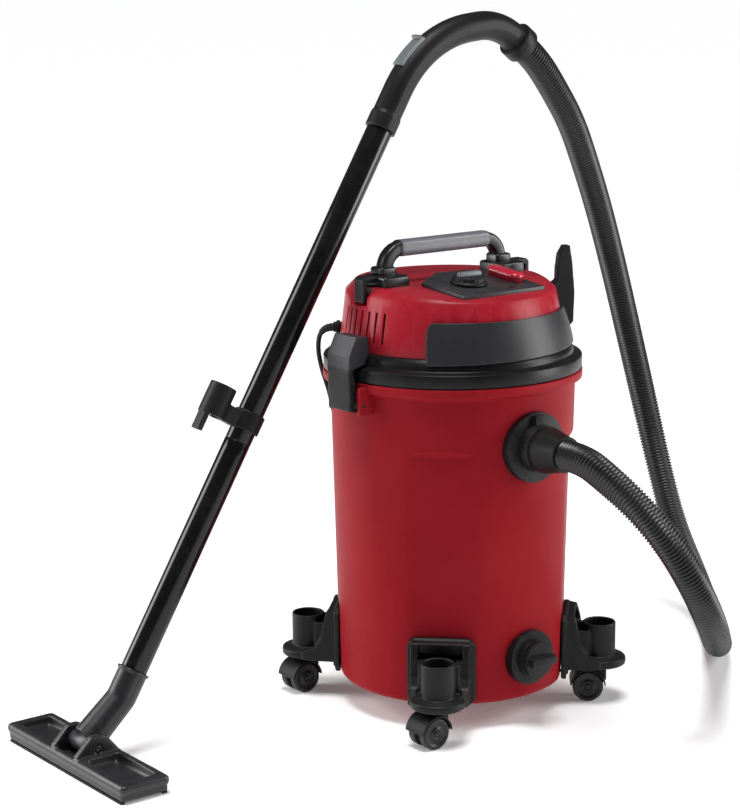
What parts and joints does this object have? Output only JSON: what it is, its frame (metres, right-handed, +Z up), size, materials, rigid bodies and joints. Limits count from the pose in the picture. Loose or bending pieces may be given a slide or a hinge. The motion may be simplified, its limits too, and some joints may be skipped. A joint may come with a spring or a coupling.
{
  "type": "shop vacuum",
  "caption": "wheeled wet and dry shop vacuum with a red drum, latched motor head, ribbed suction hose, curved grip, black wand and wide floor nozzle",
  "frame": {"origin": "on the drum's axis at floor level", "axes": "+Z up; -Y toward the hose inlet and the drain; +Y toward the blower port; latches and carry handle along X"},
  "size_m": [1.1112, 0.7147, 0.9213],
  "materials": {
    "drum_plastic": "red moulded plastic, satin gloss",
    "cover_plastic": "red moulded plastic",
    "black_plastic": "black moulded plastic, fine texture",
    "black_gloss": "black plastic, glossy",
    "dark_grey": "dark grey plastic",
    "grey_plastic": "mid grey plastic",
    "red_button": "red button plastic",
    "lens": "dark lens",
    "rubber": "soft black rubber",
    "steel": "zinc-plated steel",
    "motor_steel": "motor can",
    "copper": "armature and windings",
    "aluminium": "pressed impeller",
    "filter_paper": "pleated paper",
    "board": "circuit board",
    "tread": "black castor tread"
  },
  "bodies": {
    "tank": {"drum": "drum_plastic", "inlet_port": "black_plastic", "drain_port": "black_plastic", "bracket_screws": "steel", "latch_pins": "steel", "lid_base": "black_gloss", "lid_gasket": "rubber", "motor_cover": "cover_plastic", "front_band": "dark_grey", "control_panel": "dark_grey", "indicator_lens": "lens", "switch_body": "black_plastic", "speed_board": "board", "carry_handle": "dark_grey", "head_screws": "steel", "cord_hooks": "black_plastic", "cord_wrap": "black_plastic", "cable_gland": "rubber", "blower_port": "black_plastic", "motor_can": "motor_steel", "motor_bearings": "steel", "fan_shroud": "aluminium", "shroud_seal": "rubber", "float_cage": "black_plastic", "filter_cartridge": "filter_paper", "filter_retainer": "black_plastic", "grip": "dark_grey", "upper_tube": "black_gloss", "lower_tube": "black_gloss", "nozzle_neck": "black_plastic", "mains_coil": "rubber", "mains_plug": "black_plastic", "hose": "black_plastic", "mains_cord": "rubber", "bracket_front_left": "black_plastic", "bracket_front_right": "black_plastic", "bracket_rear_left": "black_plastic", "bracket_rear_right": "black_plastic"},
    "power_knob": {"power_knob": "grey_plastic"},
    "switch_button": {"switch_button": "red_button"},
    "rotor": {"motor_rotor": "copper", "impeller": "aluminium"},
    "float_ball": {"float_ball": "grey_plastic"},
    "latch_left": {"latch_left": "dark_grey"},
    "latch_right": {"latch_right": "dark_grey"},
    "drain_cap": {"drain_cap": "black_plastic"},
    "hose_cuff": {"hose_cuff": "black_plastic"},
    "hose_collar": {"hose_collar": "black_plastic"},
    "bleed_slider": {"bleed_slider": "grey_plastic"},
    "tube_clip": {"tube_clip": "black_plastic"},
    "nozzle": {"nozzle_body": "black_plastic", "nozzle_strips": "rubber"},
    "castor_front_left": {"castor_hood_front_left": "black_plastic"},
    "wheels_front_left": {"castor_wheels_front_left": "tread"},
    "castor_front_right": {"castor_hood_front_right": "black_plastic"},
    "wheels_front_right": {"castor_wheels_front_right": "tread"},
    "castor_rear_left": {"castor_hood_rear_left": "black_plastic"},
    "wheels_rear_left": {"castor_wheels_rear_left": "tread"},
    "castor_rear_right": {"castor_hood_rear_right": "black_plastic"},
    "wheels_rear_right": {"castor_wheels_rear_right": "tread"}
  },
  "joints": [
    {"name": "power_knob_turn", "type": "hinge", "parent": "tank", "child": "power_knob", "pos_m": [-0.018, -0.05452, 0.57771], "axis": [0, -0.1045, 0.9945], "range_deg": [0, 270]},
    {"name": "switch_press", "type": "slide", "parent": "tank", "child": "switch_button", "axis": [0, 0.1045, -0.9945], "range_m": [0, 0.003], "stiffness_N_per_m": 600, "springref_m": -0.001},
    {"name": "motor_spin", "type": "hinge", "parent": "tank", "child": "rotor", "pos_m": [0, 0, 0.52], "axis": [0, 0, 1], "continuous": true},
    {"name": "float_rise", "type": "slide", "parent": "tank", "child": "float_ball", "axis": [0, 0, 1], "range_m": [0, 0.05]},
    {"name": "latch_left_open", "type": "hinge", "parent": "tank", "child": "latch_left", "pos_m": [-0.1755, 0, 0.432], "axis": [0, -1, 0], "range_deg": [0, 95]},
    {"name": "latch_right_open", "type": "hinge", "parent": "tank", "child": "latch_right", "pos_m": [0.1755, 0, 0.432], "axis": [0, 1, 0], "range_deg": [0, 95]},
    {"name": "drain_cap_turn", "type": "hinge", "parent": "tank", "child": "drain_cap", "pos_m": [0, -0.175, 0.093], "axis": [0, -1, 0], "range_deg": [0, 90]},
    {"name": "inlet_swivel", "type": "hinge", "parent": "tank", "child": "hose_cuff", "pos_m": [0, -0.2, 0.377], "axis": [0, -1, 0], "continuous": true},
    {"name": "grip_swivel", "type": "hinge", "parent": "tank", "child": "hose_collar", "pos_m": [0.19, 0.075, 0.869], "axis": [0.8, 0, -0.6], "continuous": true},
    {"name": "bleed_slide", "type": "hinge", "parent": "tank", "child": "bleed_slider", "pos_m": [0.10922, 0.075, 0.73572], "axis": [0, 1, 0], "range_deg": [0, 10]},
    {"name": "clip_slide", "type": "slide", "parent": "tank", "child": "tube_clip", "axis": [0.5197, 0, 0.8543], "range_m": [0, 0.1]},
    {"name": "nozzle_tilt", "type": "hinge", "parent": "tank", "child": "nozzle", "pos_m": [-0.537, 0.075, 0.032], "axis": [0, 1, 0], "range_deg": [-15, 30]},
    {"name": "castor_front_left_swivel", "type": "hinge", "parent": "tank", "child": "castor_front_left", "pos_m": [-0.14142, -0.14142, 0.055], "axis": [0, 0, 1], "continuous": true},
    {"name": "wheels_front_left_roll", "type": "hinge", "parent": "castor_front_left", "child": "wheels_front_left", "pos_m": [-0.15642, -0.14142, 0.021], "axis": [0, -1, 0], "continuous": true},
    {"name": "castor_front_right_swivel", "type": "hinge", "parent": "tank", "child": "castor_front_right", "pos_m": [0.14142, -0.14142, 0.055], "axis": [0, 0, 1], "continuous": true},
    {"name": "wheels_front_right_roll", "type": "hinge", "parent": "castor_front_right", "child": "wheels_front_right", "pos_m": [0.12993, -0.13178, 0.021], "axis": [-0.6428, -0.766, 0], "continuous": true},
    {"name": "castor_rear_left_swivel", "type": "hinge", "parent": "tank", "child": "castor_rear_left", "pos_m": [-0.14142, 0.14142, 0.055], "axis": [0, 0, 1], "continuous": true},
    {"name": "wheels_rear_left_roll", "type": "hinge", "parent": "castor_rear_left", "child": "wheels_rear_left", "pos_m": [-0.15642, 0.14142, 0.021], "axis": [0, -1, 0], "continuous": true},
    {"name": "castor_rear_right_swivel", "type": "hinge", "parent": "tank", "child": "castor_rear_right", "pos_m": [0.14142, 0.14142, 0.055], "axis": [0, 0, 1], "continuous": true},
    {"name": "wheels_rear_right_roll", "type": "hinge", "parent": "castor_rear_right", "child": "wheels_rear_right", "pos_m": [0.12733, 0.13629, 0.021], "axis": [0.342, -0.9397, 0], "continuous": true}
  ]
}
